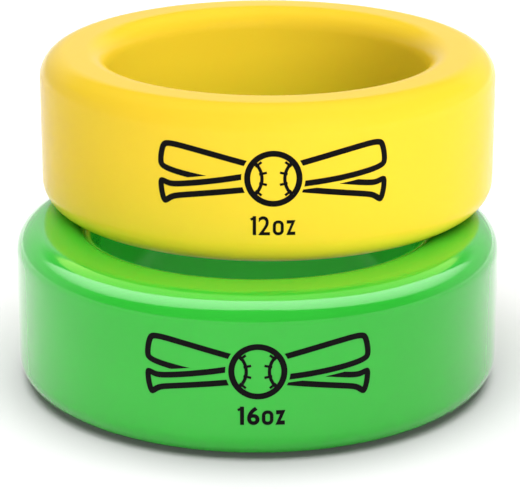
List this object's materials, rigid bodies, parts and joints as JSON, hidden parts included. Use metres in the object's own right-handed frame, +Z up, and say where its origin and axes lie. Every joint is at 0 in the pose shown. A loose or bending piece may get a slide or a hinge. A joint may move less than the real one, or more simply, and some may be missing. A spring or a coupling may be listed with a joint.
{
  "type": "bat weight ring set",
  "caption": "Vinyl-coated iron rings that slide over a bat to make it heavier, stacked one on another, with well-rounded edges and a wide straight hole through each.",
  "frame": {"origin": "centre of the lower ring's bottom face, on the lower ring's axis", "axes": "+Z up along the axes of both rings, -Y towards the front, where the markings are, and +X to the right"},
  "size_m": [0.0846, 0.0962, 0.0556],
  "materials": {
    "core_iron": "matte",
    "green_vinyl": "gloss",
    "yellow_vinyl": "satin"
  },
  "bodies": {
    "lower_ring": {"lower_core": "core_iron", "lower_coat": "green_vinyl"},
    "upper_ring": {"upper_core": "core_iron", "upper_coat": "yellow_vinyl"}
  },
  "joints": [
    {"name": "upper_ring_lift", "type": "slide", "parent": "lower_ring", "child": "upper_ring", "axis": [0, 0, 1], "range_m": [0, 0.06]}
  ]
}
